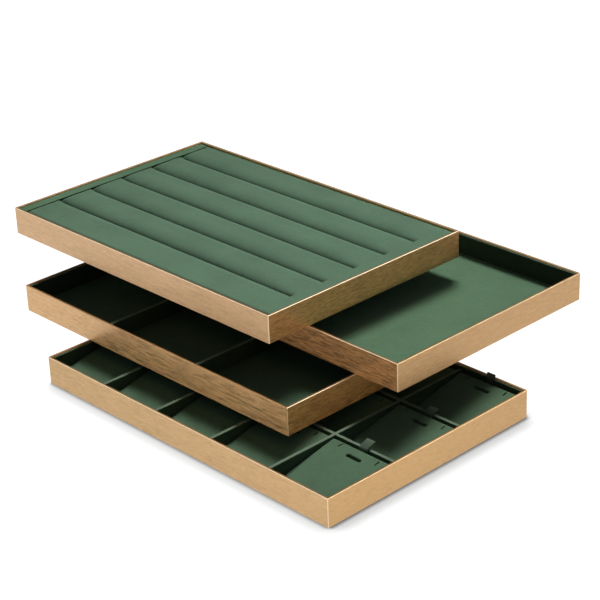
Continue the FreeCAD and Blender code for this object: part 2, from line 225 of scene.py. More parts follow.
def microfibre(name, col, sheen=0.15, nap=0.10, grain=0.16, crease_shade_depth=None):
    """Short-pile suede: fine grain, soft patches where the pile lies the other way. With
    crease_shade_depth, painted shade darkens the creases up to that many metres deep."""
    t = Tree(name)
    fine = t.noise((1500, 1500, 1500), detail=4.0, rough=0.7)
    mid = t.noise((260, 260, 260), detail=3.0, rough=0.6)
    wide = t.noise((24, 24, 24), detail=2.0, rough=0.5)
    f = t.mix(0.45, fine, mid)
    f = t.mix(nap * 4.0, f, wide)
    colour = t.ramp(f, [(0.30, shade(col, 1 - grain * 1.4)), (0.5, col),
                        (0.70, shade(col, 1 + grain * 1.3))])
    if crease_shade_depth:
        # painted shade: the pile darkens where its own mesh closes round it, in the creases
        crease = t.add("ShaderNodeAmbientOcclusion", samples=8, only_local=True)
        crease.inputs["Distance"].default_value = crease_shade_depth
        painted_crease_shade = t.span(crease.outputs["AO"], 0.42, 1.0, 0.45, 0.97)
        both = t.add("ShaderNodeMix", data_type="RGBA", blend_type="MULTIPLY")
        both.inputs[0].default_value = 1.0
        t.link(colour, both.inputs[6])
        t.link(painted_crease_shade, both.inputs[7])
        colour = both.outputs[2]
    t.link(colour, t.bsdf.inputs["Base Color"])
    t.link(t.span(fine, 0.82, 0.98), t.bsdf.inputs["Roughness"])
    n = t.bump(fine, 0.00012, 0.45)
    t.link(t.bump(mid, 0.0002, 0.18, n), t.bsdf.inputs["Normal"])
    t.set(Sheen_Weight=sheen, Sheen_Roughness=0.5, Sheen_Tint=(0.62, 0.9, 0.66, 1.0),
          Specular_IOR_Level=0.1)
    return t.mat


def ribbon_cloth(name, col, axis=(0, 0, 1)):
    """Narrow grosgrain: ribs across the ribbon."""
    t = Tree(name)
    w = t.add("ShaderNodeTexWave", wave_type="BANDS", bands_direction="Z")
    w.inputs["Scale"].default_value = 1.0
    w.inputs["Distortion"].default_value = 0.4
    w.inputs["Detail"].default_value = 1.0
    t.link(t.coords((900, 900, 900)), w.inputs["Vector"])
    thread = t.noise((2600, 2600, 900), detail=2.0)
    f = t.mix(0.4, w.outputs["Fac"], thread)
    t.link(t.ramp(f, [(0.2, shade(col, 0.85)), (0.55, col), (0.85, shade(col, 1.18))]),
           t.bsdf.inputs["Base Color"])
    t.link(t.span(f, 0.8, 0.68), t.bsdf.inputs["Roughness"])
    t.link(t.bump(f, 0.00006, 0.25), t.bsdf.inputs["Normal"])
    t.set(Sheen_Weight=0.15, Specular_IOR_Level=0.3)
    return t.mat


def felt_cloth(name, col):
    t = Tree(name)
    fibre = t.noise((900, 900, 900), detail=6.0, rough=0.75, distortion=1.2)
    wide = t.noise((60, 60, 60), detail=2.0)
    f = t.mix(0.3, fibre, wide)
    t.link(t.ramp(f, [(0.3, shade(col, 0.6)), (0.5, col), (0.72, shade(col, 1.6))]),
           t.bsdf.inputs["Base Color"])
    t.link(t.span(fibre, 0.9, 1.0), t.bsdf.inputs["Roughness"])
    t.link(t.bump(fibre, 0.0003, 0.5), t.bsdf.inputs["Normal"])
    t.set(Sheen_Weight=0.2, Specular_IOR_Level=0.1)
    return t.mat


def fibreboard(name, col):
    t = Tree(name)
    fleck = t.noise((700, 700, 700), detail=5.0, rough=0.7, distortion=0.6)
    wide = t.noise((18, 18, 18), detail=2.0)
    f = t.mix(0.3, fleck, wide)
    t.link(t.ramp(f, [(0.3, shade(col, 0.72)), (0.52, col), (0.72, shade(col, 1.25))]),
           t.bsdf.inputs["Base Color"])
    t.link(t.span(fleck, 0.72, 0.9), t.bsdf.inputs["Roughness"])
    t.link(t.bump(fleck, 0.0001, 0.3), t.bsdf.inputs["Normal"])
    return t.mat


def brushed_steel(name):
    t = Tree(name)
    hair = t.noise((90, 2600, 2600), detail=3.0, rough=0.65)
    t.link(t.ramp(hair, [(0.3, (0.36, 0.36, 0.36)), (0.5, (0.52, 0.52, 0.52)),
                         (0.7, (0.66, 0.66, 0.65))]), t.bsdf.inputs["Base Color"])
    t.link(t.span(hair, 0.45, 0.3), t.bsdf.inputs["Roughness"])
    t.link(t.bump(hair, 0.00004, 0.3), t.bsdf.inputs["Normal"])
    t.set(Metallic=1.0)
    return t.mat


GREEN = (0.1, 0.172, 0.105)
# a darker gold for a rail that stands in shade: painted shade
SHADED_GOLD = (0.5, 0.3, 0.122)
# the back rails get a lighter painted top shade, the right-hand rails a paler gold and a softer edge
# highlight: painted light
GOLD = {"front": brushed_gold("brushed_gold_front", "X", (0, -1, 0)),
        "back": brushed_gold("brushed_gold_back", "X", (0, 1, 0), (0.47, 0.3, 0.145)),
        "left": brushed_gold("brushed_gold_left", "Y", (-1, 0, 0)),
        "right": brushed_gold("brushed_gold_right", "Y", (1, 0, 0), highlight=(0.66, 0.45, 0.24),
                              gold=(0.572, 0.352, 0.164))}
# each rail gets its own copy of the gold, paler or deeper by the light it stands in: painted light
# and painted shade, some with stronger hairlines
LIT_AND_SHADED_GOLD = {
    "ring_front_rail": brushed_gold("brushed_gold_ring_front", "X", (0, -1, 0),
                                    gold=(0.572, 0.378, 0.214)),
    "ring_right_rail": brushed_gold("brushed_gold_ring_right", "Y", (1, 0, 0), depth=2.6,
                                    gold=SHADED_GOLD),
    "flat_front_rail": brushed_gold("brushed_gold_flat_front", "X", (0, -1, 0), depth=2.9,
                                    gold=(0.43, 0.24, 0.107)),
    "bangle_front_rail": brushed_gold("brushed_gold_bangle_front", "X", (0, -1, 0), depth=1.5,
                                      highlight=(0.44, 0.26, 0.115), gold=(0.574, 0.364, 0.182)),
    "bangle_right_rail": brushed_gold("brushed_gold_bangle_right", "Y", (1, 0, 0), depth=3.2,
                                      gold=(0.465, 0.26, 0.092)),
    "pendant_front_rail": brushed_gold("brushed_gold_pendant_front", "X", (0, -1, 0),
                                       gold=(0.512, 0.336, 0.163)),
    "pendant_right_rail": brushed_gold("brushed_gold_pendant_right", "Y", (1, 0, 0),
                                       highlight=(0.66, 0.45, 0.24), gold=(0.603, 0.374, 0.164)),
}
SUEDE = microfibre("microfibre_green", (0.095, 0.17, 0.1))
# a darker copy of the green for the bangle tray's floor: painted shade from the trays above
SUEDE_SHADED_FLOOR = microfibre("microfibre_green_floor_painted_shade", (0.065, 0.114, 0.069))
# a darker copy of the green for the flaps: painted shade from the trays above
SUEDE_SHADED_FLAP = microfibre("microfibre_green_flaps_painted_shade", (0.087, 0.148, 0.09))
SUEDE_ROLL = microfibre("microfibre_green_rolls_crease_shade", (0.1, 0.172, 0.111), crease_shade_depth=0.011)
# darker copies of the green for upright faces: painted shade
SUEDE_SHADED_WALL = microfibre("microfibre_green_wall_painted_shade", shade(GREEN, 0.31), sheen=0.06)
# a lighter, greyer green for the tops of linings and dividers: painted light
SUEDE_LIT_TOP = microfibre("microfibre_green_tops_painted_light", (0.125, 0.172, 0.118))
SUEDE_SHADED_SIDE = microfibre("microfibre_green_side_painted_shade", shade(GREEN, 0.45), sheen=0.06)
# a near-black copy of the ribbon for the back tab: painted shade
RIBBON_DEEP_SHADE = ribbon_cloth("ribbon_green_painted_deep_shade", (0.011, 0.0135, 0.0105))
RIBBON = ribbon_cloth("ribbon_dark_green", (0.058, 0.092, 0.06))
# a dimmer copy of the ribbon for the middle tab: painted shade
RIBBON_HALF_SHADE = ribbon_cloth("ribbon_green_painted_half_shade", (0.03, 0.043, 0.031))
FELT = felt_cloth("felt_dark", (0.022, 0.028, 0.024))
BOARD = fibreboard("fibreboard", (0.26, 0.17, 0.095))
BOARD_DARK = fibreboard("fibreboard_covered", (0.02, 0.035, 0.024))
# near black so the cuts above it read dark: painted shade
CARD_IN_SHADE = fibreboard("support_card", (0.022, 0.026, 0.02))
STEEL = brushed_steel("brushed_steel")


# ------------------------------------------------------------------------------ meshes
def piece(name, verts, faces, mat, matrix=None, sharp=50.0, side=None):
    me = bpy.data.meshes.new(name)
    me.from_pydata([(x / 1000, y / 1000, z / 1000) for x, y, z in verts], [], faces)
    me.validate()
    # places that fall on each other become one, and faces without area go
    bm = bmesh.new()
    bm.from_mesh(me)
    bmesh.ops.remove_doubles(bm, verts=bm.verts, dist=1e-6)
    bmesh.ops.dissolve_degenerate(bm, edges=bm.edges, dist=1e-6)
    bm.to_mesh(me)
    bm.free()
    me.shade_smooth()
    me.set_sharp_from_angle(angle=math.radians(sharp))
    me.materials.append(mat)
    if side is not None:
        # upright faces take the second, darker material: painted shade on walls and sides
        me.materials.append(side)
        for p in me.polygons:
            p.material_index = int(p.normal.z < 0.35)
    ob = bpy.data.objects.new(name, me)
    bpy.context.scene.collection.objects.link(ob)
    if matrix is not None:
        ob.matrix_world = matrix
    return ob


def edge_steps(a, b, r, step):
    """Places between a and b: close together within r of both ends, then about step apart."""
    near = [0.0, 0.06, 0.2, 0.42, 0.7, 1.0, 1.6]
    head = [a + r * k for k in near]
    tail = [b - r * k for k in reversed(near)]
    n = max(1, int(round((tail[0] - head[-1]) / step)))
    inner = [head[-1] + (tail[0] - head[-1]) * i / n for i in range(1, n)]
    return head + inner + tail


def round_drop(d, r):
    """How far a rounded edge of radius r lies below its flat, d inside the edge."""
    if d >= r:
        return 0.0
    return r - math.sqrt(max(0.0, r * r - (r - d) ** 2))


def close_below(verts, faces, rim, z0, foot=None):
    """Sides and underside below a rim. A foot (x0, x1, z) narrows the part under height z."""
    n = len(rim)
    upper = rim
    if foot is not None:
        fx0, fx1, fz = foot
        level, inner = [], []
        for v in rim:
            x, y, _ = verts[v]
            verts.append((x, y, fz))
            level.append(len(verts) - 1)
            if x < fx0 or x > fx1:
                verts.append((min(max(x, fx0), fx1), y, fz))
            inner.append(len(verts) - 1)
        for i in range(n):
            k = (i + 1) % n
            faces.append((rim[k], rim[i], level[i], level[k]))
            step = [level[k], level[i], inner[i], inner[k]]
            step = [v for j, v in enumerate(step) if v not in step[:j]]
            if len(step) > 2 and len({(verts[v][0], verts[v][1]) for v in step}) > 2:
                faces.append(tuple(step))
        upper = inner
    start = len(verts)
    for v in upper:
        verts.append((verts[v][0], verts[v][1], z0))
    for i in range(n):
        k = (i + 1) % n
        if (verts[upper[i]][0], verts[upper[i]][1]) != (verts[upper[k]][0], verts[upper[k]][1]):
            faces.append((upper[k], upper[i], start + i, start + k))
    faces.append(tuple(start + i for i in reversed(range(n))))


def slab(name, lo, hi, r, step, mat, top=None, xs=None, ys=None, matrix=None, foot=None,
         side=None):
    """A covered board: vertical sides, a rounded upper edge, and a top that follows top(x, y)."""
    (x0, y0, z0), (x1, y1, z1) = lo, hi
    rx, ry = min(r, (x1 - x0) / 2 * 0.98), min(r, (y1 - y0) / 2 * 0.98)
    r = min(rx, ry)
    xs = xs or edge_steps(x0, x1, r * 0.62 if x1 - x0 < 3.3 * r else r, step)
    ys = ys or edge_steps(y0, y1, r * 0.62 if y1 - y0 < 3.3 * r else r, step)
    nx, ny = len(xs), len(ys)
    verts, faces = [], []
    for x in xs:
        for y in ys:
            ux = max(0.0, r - min(x - x0, x1 - x))
            uy = max(0.0, r - min(y - y0, y1 - y))
            q = min(r, math.hypot(ux, uy))
            z = z1 - (r - math.sqrt(max(0.0, r * r - q * q)))
            if top is not None:
                z += top(x, y)
            verts.append((x, y, z))
    at = lambda i, j: i * ny + j
    for i in range(nx - 1):
        for j in range(ny - 1):
            faces.append((at(i, j), at(i + 1, j), at(i + 1, j + 1), at(i, j + 1)))
    rim = ([at(i, 0) for i in range(nx)] + [at(nx - 1, j) for j in range(1, ny)]
           + [at(i, ny - 1) for i in range(nx - 2, -1, -1)]
           + [at(0, j) for j in range(ny - 2, 0, -1)])
    close_below(verts, faces, rim, z0, foot)
    return piece(name, verts, faces, mat, matrix, side=side)


def wave(x, y, z, size, amount):
    """A smooth fixed unevenness, the same in every run."""
    return amount * noise.noise(Vector((x / size, y / size, z / size)))


def ride(ob, body, *nodes, padded=None):
    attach(ob, body)
    if nodes:
        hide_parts(*nodes)
    return ob


# ------------------------------------------------------------------------------ shells
def give(node, mat):
    ob = NODES[node]
    if not ob.material_slots:
        ob.data.materials.append(mat)
    for s in ob.material_slots:
        s.material = mat


for tray in ORIGIN:
    for side in GOLD:
        rail = "%s_%s_rail" % (tray, side)
        give(rail, LIT_AND_SHADED_GOLD.get(rail, GOLD[side]))
    give("%s_corner_gussets" % tray, STEEL)
    give("%s_base_board" % tray, BOARD_DARK if tray in ("pendant", "ring") else BOARD)
give("ring_insert_board", BOARD)
# the support card takes the near-black painted shade
give("pendant_flap_supports", CARD_IN_SHADE)


def lining(tray):
    """Four covered strips against the inner faces of the rails."""
    cx, cy, z = ORIGIN[tray]
    lo = z + BOARD_TOP
    hi = z + (RING_LINING_TOP if tray == "ring" else LINING_TOP)
    body = tray + "_tray"
    strips = {
        "front": ((cx - RX, cy - RY), (cx + RX, cy - IY)),
        "back": ((cx - RX, cy + IY), (cx + RX, cy + RY)),
        "left": ((cx - RX, cy - IY), (cx - IX, cy + IY)),
        "right": ((cx + IX, cy - IY), (cx + RX, cy + IY)),
    }
    for i, (side, (a, b)) in enumerate(strips.items()):
        # linings: lighter tops and darker upright faces, painted light and painted shade
        ob = slab("%s_lining_%s" % (tray, side), (*a, lo), (*b, hi), 0.62, 9.0, SUEDE_LIT_TOP,
                  top=lambda x, y, k=i: wave(x, y, 7.3 * k + cx, 38.0, 0.16) - 0.1,
                  side=SUEDE_SHADED_WALL)
        ride(ob, body, "%s_wall_lining" % tray)


def felt(tray):
    """The felt under a tray, its corners cut off, its lower edge soft."""
    cx, cy, z = ORIGIN[tray]
    fx, fy, cut = RX - 0.2, RY - 0.2, 26.6

    def ring(d, height):
        c = cut + d * (2 - math.sqrt(2)) - d
        x, y = fx - d, fy - d
        pts = [(x - c, -y), (x, c - y), (x, y - c), (x - c, y),
               (c - x, y), (-x, y - c), (-x, c - y), (c - x, -y)]
        return [(cx + px, cy + py, z + height) for px, py in pts]

    rings = [ring(0.0, 2.0), ring(0.0, 0.6), ring(0.1, 0.25), ring(0.35, 0.06), ring(0.8, 0.0)]
    verts = [v for r in rings for v in r]
    faces = [tuple(range(8))]
    for k in range(len(rings) - 1):
        for i in range(8):
            j = (i + 1) % 8
            faces.append((k * 8 + j, k * 8 + i, (k + 1) * 8 + i, (k + 1) * 8 + j))
    faces.append(tuple(reversed(range((len(rings) - 1) * 8, len(rings) * 8))))
    ob = piece("%s_felt_sheet" % tray, verts, faces, FELT, sharp=40.0)
    ride(ob, tray + "_tray", "%s_base_felt" % tray)


def floor_pad(tray):
    cx, cy, z = ORIGIN[tray]
    # the bangle tray's floor takes the darker green: painted shade
    ob = slab("%s_floor" % tray, (cx - IX, cy - IY, z + BOARD_TOP),
              (cx + IX, cy + IY, z + FLOOR_TOP), 1.0, 6.0,
              SUEDE if tray == "flat" else SUEDE_SHADED_FLOOR,
              top=lambda x, y: wave(x, y, z, 55.0, 0.12) - 0.1)
    ride(ob, tray + "_tray", "%s_floor_pad" % tray, padded=0.9)


for tray in ORIGIN:
    lining(tray)
    felt(tray)
for tray in ("flat", "bangle"):
    floor_pad(tray)


# ------------------------------------------------------------------------------ ring tray
def ring_insert():
    """One cover over six padded bars: open slits between the bars, which run out at the left
    end and stop short of the right-hand end."""
    cx, cy, cz = ORIGIN["ring"]
    seam, stop, right = -146.3, 146.3, RX - 0.2
    back = IY - 0.25
    base, top = 7.0, 22.7
    pitch = 2 * IY / 6
    slits = [-IY + pitch * k for k in range(1, 6)]
    half, floor = 0.85, -13.0
    # towards the front a bar falls away in a long curve, steeper and steeper; towards the back it
    # turns down short
    crest, long_x, long_z, steep = 16.6, 13.4, 5.8, 12.9
    short_reach, short_radius = 5.0, 13.0

    ahead = [0.0, half - 0.06] + [half + d for d in (0.0, 0.12, 0.5, 1.1, 1.9, 2.9, 3.9, 5.0)]
    behind = [half - 0.06] + [half + d for d in (0.0, 0.12, 0.5, 1.2, 2.0, 2.7, 3.1, 3.5, 4.0, 4.6,
                                                 5.3, 6.1, 7.0, 8.1, 9.4, 11.0, 13.0, 16.0)]
    ys = set()
    for s in slits:
        for d in ahead:
            ys.add(round(s - d, 4))
        for d in behind:
            ys.add(round(s + d, 4))
    for k in range(6):
        for d in (19.4, 22.4, 25.4, 28.2):
            ys.add(round(-IY + pitch * k + d, 4))
    for k in (0.0, 0.12, 0.4, 0.84, 1.4, 2.0, 3.2, 5.0, 7.5, 11.0, 14.0):
        ys.add(round(-back + k, 4))
    for k in (0.0, 0.12, 0.4, 0.84, 1.4, 2.0, 3.2, 5.0, 7.5):
        ys.add(round(back - k, 4))
    ys = sorted(y for y in ys if -back - 1e-6 <= y <= back + 1e-6)
    xs = [seam + d for d in (0.0, 0.05, 0.17, 0.34, 0.56, 0.8, 1.5, 4.0)]
    n = 96
    a, b = seam + 4.0, stop - 6.0
    xs += [a + (b - a) * i / n for i in range(1, n)]
    xs += [b + d for d in (0.0, 1.8, 3.4, 4.6, 5.1, 5.2, 5.35, 5.55, 5.8, 6.05, 6.25, 6.4, 7.2, 8.6,
                           10.4)]
    xs += [right - d for d in (4.4, 2.4, 1.4, 0.8, 0.5, 0.22, 0.06, 0.0)]
    r_end, r_side = 0.8, 2.0

    def height(x, y):
        gate = 1.0 - min(1.0, max(0.0, (x - (stop - 0.9)) / 1.3))
        gate = gate * gate * (3 - 2 * gate)
        s = min(slits, key=lambda v: abs(y - v))
        d = abs(y - s)
        if d < half - 0.01 and x < stop - 0.85:
            return floor
        if y >= s:
            # the fall grows smaller where the slit ends
            near = min(1.0, max(0.0, 1.0 - (stop - x) / 32.0))
            k = 1.0 - 0.62 * near * near * (3 - 2 * near)
            u = max(0.0, crest - half - max(0.0, d - half) / k)
            v = min(u, steep) / long_x
            drop = k * (long_z * (1.0 - math.sqrt(1.0 - v * v)) + 1.4 * max(0.0, u - steep))
        else:
            u = max(0.0, short_reach + half - max(half, d))
            drop = short_radius - math.sqrt(short_radius ** 2 - u * u)
        # the cover is held level where it turns down at the seam
        held = min(1.0, (x - seam) / 7.0)
        z = -gate * drop * (0.16 + 0.84 * held)
        k = (y + IY) / pitch
        across = 2.0 * (k - math.floor(k)) - 1.0
        z -= 0.15 * across * across * gate * held
        edge = max(0.0, r_side - (back - abs(y)))
        z -= r_side - math.sqrt(max(0.0, r_side ** 2 - min(r_side, edge) ** 2))
        end = max(0.0, r_end - min(x - seam, right - x))
        z -= r_end - math.sqrt(max(0.0, r_end ** 2 - min(r_end, end) ** 2))
        # the cover is not drawn equally tight everywhere
        z += wave(x * 0.45, y, 3.1, 14.0, 0.10) * min(1.0, d / 3.0)
        pucker = math.exp(-((x - stop) / 9.0) ** 2) * math.exp(-(d / 7.0) ** 2)
        z += 0.22 * pucker * noise.noise(Vector((x * 0.12, y * 0.55, 9.0)))
        return z

    nx, ny = len(xs), len(ys)
    verts = [(cx + x, cy + y, cz + top + height(x, y)) for x in xs for y in ys]
    at = lambda i, j: i * ny + j
    faces = [(at(i, j), at(i + 1, j), at(i + 1, j + 1), at(i, j + 1))
             for i in range(nx - 1) for j in range(ny - 1)]
    rim = ([at(i, 0) for i in range(nx)] + [at(nx - 1, j) for j in range(1, ny)]
           + [at(i, ny - 1) for i in range(nx - 2, -1, -1)]
           + [at(0, j) for j in range(ny - 2, 0, -1)])
    close_below(verts, faces, rim, cz + base,
                (cx - IX + 0.2, cx + IX - 0.2, cz + RING_LINING_TOP + 0.2))
    ob = piece("ring_insert_cover", verts, faces, SUEDE_ROLL, sharp=60.0)
    ride(ob, "ring_tray", *["ring_roll_%d" % k for k in range(1, 7)], "ring_end_bar", padded=0.9)

    # the strip's upright faces take the darker green: painted shade
    strip = slab("ring_strip", (cx - RX + 0.2, cy - IY + 0.2, cz + BOARD_TOP),
                 (cx + seam - 1.7, cy + IY - 0.2, cz + top - 0.1), 0.5, 7.0, SUEDE,
                 top=lambda x, y: wave(x, y, 1.7, 33.0, 0.14) - 0.1,
                 foot=(cx - IX + 0.2, cx + IX, cz + RING_LINING_TOP + 0.2), side=SUEDE_SHADED_WALL)
    ride(strip, "ring_tray", "ring_filler_strip", padded=0.9)


ring_insert()


# ------------------------------------------------------------------------------ dividers
def divider(name, node, body, lo, hi, k):
    # dividers: lighter tops and darker sides, painted light and painted shade
    ob = slab(name, lo, hi, 0.5, 6.0, SUEDE_LIT_TOP,
              top=lambda x, y: wave(x, y, 11.0 * k, 26.0, 0.14) - 0.1, side=SUEDE_SHADED_SIDE)
    ride(ob, body, node)


cx, cy, cz = ORIGIN["bangle"]
BCOL = (2 * IX - 2 * DT) / 3 + DT
divider("bangle_long_bar", "bangle_long_divider", "bangle_tray",
        (cx - IX, cy - DT / 2, cz + FLOOR_TOP - 0.4), (cx + IX, cy + DT / 2, cz + DIVIDER_TOP), 1)
for side, s in (("left", -1), ("right", 1)):
    x = cx + s * BCOL / 2
    divider("bangle_cross_bar_%s" % side, "bangle_cross_divider_%s" % side, "bangle_tray",
            (x - DT / 2, cy - IY, cz + FLOOR_TOP - 0.4),
            (x + DT / 2, cy + IY, cz + DIVIDER_TOP), 3 + s)

COL = (2 * IX - 4 * DT) / 5 + DT
ROW = (2 * IY - 2 * DT) / 3 + DT
CELL_X, CELL_Y = COL - DT, ROW - DT
for side, s in (("front", -1), ("back", 1)):
    y = s * ROW / 2
    divider("pendant_long_bar_%s" % side, "pendant_long_divider_%s" % side, "pendant_tray",
            (-IX, y - DT / 2, BOARD_TOP), (IX, y + DT / 2, DIVIDER_TOP), 6 + s)
for i, k in enumerate((-1.5, -0.5, 0.5, 1.5), start=1):
    x = k * COL
    divider("pendant_cross_bar_%d" % i, "pendant_cross_dividers", "pendant_tray",
            (x - DT / 2, -IY, BOARD_TOP), (x + DT / 2, IY, DIVIDER_TOP), 10 + i)


# ------------------------------------------------------------------------------ flaps and tabs
FR, TILT, FLEN = 1.5, math.radians(10.5), 64.4
HINGE_Z = BOARD_TOP + 0.3 + FR
FLAP_W = CELL_X / 2 - 1.05


def rounded_rect(x0, y0, x1, y1, r, n):
    pts = []
    for cxx, cyy, a0 in ((x1 - r, y0 + r, -90), (x1 - r, y1 - r, 0),
                         (x0 + r, y1 - r, 90), (x0 + r, y0 + r, 180)):
        for i in range(n + 1):
            a = math.radians(a0 + 90.0 * i / n)
            pts.append((cxx + r * math.cos(a), cyy + r * math.sin(a)))
    return pts


def slot_outline(cxx, cyy, half_len, r, angle, n=5):
    """A slot with round ends, turned by angle about its centre."""
    pts = []
    for s, a0 in ((1, -90), (-1, 90)):
        for i in range(n + 1):
            a = math.radians(a0 + 180.0 * i / n)
            pts.append((s * half_len + r * math.cos(a), r * math.sin(a)))
    c, sn = math.cos(angle), math.sin(angle)
    return [(cxx + px * c - py * sn, cyy + px * sn + py * c) for px, py in pts]


def seg_distance(p, a, b):
    ax, ay, bx, by = *a, *b
    dx, dy = bx - ax, by - ay
    t = max(0.0, min(1.0, ((p[0] - ax) * dx + (p[1] - ay) * dy) / (dx * dx + dy * dy)))
    return math.hypot(p[0] - ax - t * dx, p[1] - ay - t * dy)


# a chain slit near the high edge and a nick beside each high corner: centre, half length, half
# width and turn
CUTS = [((0.4, 54.9), 5.7, 1.5, 0.0), ((-18.7, 60.8), 2.0, 0.42, math.radians(72)),
        ((19.2, 59.9), 2.0, 0.5, math.radians(92))]


def flap_mesh(seed):
    """A thin board padded and covered on both sides, with rounded edges and its cuts."""
    edge_r = 1.05
    x0, x1, y0, y1 = -FLAP_W, FLAP_W, -FR, FLEN
    points, edges = [], []

    def loop(pts):
        start = len(points)
        points.extend(pts)
        n = len(pts)
        edges.extend((start + i, start + (i + 1) % n) for i in range(n))

    def split(pts, step):
        out = []
        for i, p in enumerate(pts):
            q = pts[(i + 1) % len(pts)]
            n = max(1, int(math.hypot(q[0] - p[0], q[1] - p[1]) / step))
            out += [(p[0] + (q[0] - p[0]) * k / n, p[1] + (q[1] - p[1]) * k / n)
                    for k in range(n)]
        return out

    for d in (0.0, 0.1, 0.32, 0.65, 1.05, 1.9):
        loop(split(rounded_rect(x0 + d, y0 + d, x1 - d, y1 - d, max(0.25, 1.6 - d), 3), 4.2))
    for (c, half, r, turn) in CUTS:
        for d in (0.0, 0.12, 0.3, 0.55):
            loop(slot_outline(c[0], c[1], half, r + d, turn))
    x = x0 + 4.0
    while x < x1 - 3.4:
        y = y0 + 4.0
        while y < y1 - 3.4:
            if all(math.hypot(x - c[0], y - c[1]) > half + 2.2 or
                   seg_distance((x, y), (c[0] - half * math.cos(t), c[1] - half * math.sin(t)),
                                (c[0] + half * math.cos(t), c[1] + half * math.sin(t))) > r + 1.3
                   for (c, half, r, t) in CUTS):
                points.append((x, y))
            y += 3.1
        x += 3.1
    out = delaunay_2d_cdt([Vector(p) for p in points], edges, [], 0, 1e-4)
    flat, tris = [(v.x, v.y) for v in out[0]], out[2]

    def inside_cut(p):
        for (c, half, r, t) in CUTS:
            ends = ((c[0] - half * math.cos(t), c[1] - half * math.sin(t)),
                    (c[0] + half * math.cos(t), c[1] + half * math.sin(t)))
            if seg_distance(p, *ends) < r - 0.02:
                return True
        return False

    def rim_distance(p):
        # distance to the outer edge, with its round corners
        r = 1.6
        qx = abs(p[0]) - (x1 - r)
        qy = abs(p[1] - (y0 + y1) / 2) - ((y1 - y0) / 2 - r)
        sd = math.hypot(max(qx, 0), max(qy, 0)) + min(max(qx, qy), 0) - r
        return max(0.0, -sd)

    def cut_distance(p):
        best = 9.0
        for (c, half, r, t) in CUTS:
            ends = ((c[0] - half * math.cos(t), c[1] - half * math.sin(t)),
                    (c[0] + half * math.cos(t), c[1] + half * math.sin(t)))
            best = min(best, seg_distance(p, *ends) - r)
        return max(0.0, best)

    keep = []
    for tri in tris:
        mx = sum(flat[i][0] for i in tri) / len(tri)
        my = sum(flat[i][1] for i in tri) / len(tri)
        if inside_cut((mx, my)) or abs(mx) > x1 or not y0 < my < y1:
            continue
        keep.append(tuple(tri))
    verts, faces = [], []
    for s in (1, -1):
        for p in flat:
            drop = max(round_drop(rim_distance(p), edge_r), round_drop(cut_distance(p), 0.5))
            z = FR - drop
            if s > 0:
                u, v = p[0] / x1, (p[1] - (y0 + y1) / 2) / ((y1 - y0) / 2)
                z += 0.28 * (1 - u * u) * (1 - v * v) - 0.12
                z += wave(p[0], p[1], seed, 15.0, 0.12) * min(1.0, rim_distance(p) / 3.0)
            verts.append((p[0], p[1], s * z))
    n = len(flat)
    for tri in keep:
        a, b, c = tri[0], tri[1], tri[2]
        (ax, ay), (bx, by), (cx2, cy2) = flat[a], flat[b], flat[c]
        if (bx - ax) * (cy2 - ay) - (by - ay) * (cx2 - ax) < 0:
            tri = tuple(reversed(tri))
        faces.append(tri)
        faces.append(tuple(n + i for i in reversed(tri)))
    # the board's edge joins the two faces
    count = {}
    for tri in keep:
        a, b, c = tri[0], tri[1], tri[2]
        (ax, ay), (bx, by), (cx2, cy2) = flat[a], flat[b], flat[c]
        if (bx - ax) * (cy2 - ay) - (by - ay) * (cx2 - ax) < 0:
            tri = tuple(reversed(tri))
        for i in range(len(tri)):
            e = (tri[i], tri[(i + 1) % len(tri)])
            count[e] = count.get(e, 0) + 1
    for (a, b) in list(count):
        if (b, a) not in count:
            faces.append((b, a, n + a, n + b))
    return verts, faces


def cell_matrix(col, row):
    x = (col - 2) * COL
    y = (row - 1) * ROW - CELL_Y / 2 + 0.4 + FR
    return (Matrix.Translation(Vector((x, y, HINGE_Z)) / 1000)
            @ Matrix.Rotation(TILT, 4, "X"))


def ribbon_mesh(path, width, thick, offset, bow, seed):
    """A ribbon whose middle line is path, in the flap's (y, z), width across it."""
    n = len(path)
    normals = []
    for i in range(n):
        a, b = path[max(0, i - 1)], path[min(n - 1, i + 1)]
        dy, dz = b[0] - a[0], b[1] - a[1]
        k = math.hypot(dy, dz)
        normals.append((-dz / k, dy / k))
    verts, faces = [], []
    us = [-1.0, -0.94, -0.6, -0.2, 0.2, 0.6, 0.94, 1.0]
    for u in us:
        t = thick * (0.45 if abs(u) > 0.99 else 1.0)
        for s in (1, -1):
            for i, (y, z) in enumerate(path):
                ny, nz = normals[i]
                sway = bow * (1 - u * u) * min(1.0, i / (n * 0.3), (n - 1 - i) / (n * 0.3))
                sway += 0.10 * noise.noise(Vector((u * 1.3, z * 0.2, seed)))
                verts.append((offset + u * width / 2, y + s * ny * t / 2 + sway,
                              z + s * nz * t / 2))
    m = 2 * n
    at = lambda j, s, i: j * m + (i if s > 0 else n + i)
    for j in range(len(us) - 1):
        for i in range(n - 1):
            faces.append((at(j, 1, i), at(j, 1, i + 1), at(j + 1, 1, i + 1), at(j + 1, 1, i)))
            faces.append((at(j, -1, i + 1), at(j, -1, i), at(j + 1, -1, i), at(j + 1, -1, i + 1)))
        for i, flip in ((0, False), (n - 1, True)):
            f = (at(j, 1, i), at(j + 1, 1, i), at(j + 1, -1, i), at(j, -1, i))
            faces.append(tuple(reversed(f)) if flip else f)
    for j, flip in ((0, True), (len(us) - 1, False)):
        for i in range(n - 1):
            f = (at(j, 1, i), at(j, 1, i + 1), at(j, -1, i + 1), at(j, -1, i))
            faces.append(tuple(reversed(f)) if flip else f)
    return verts, [tuple(reversed(f)) for f in faces]


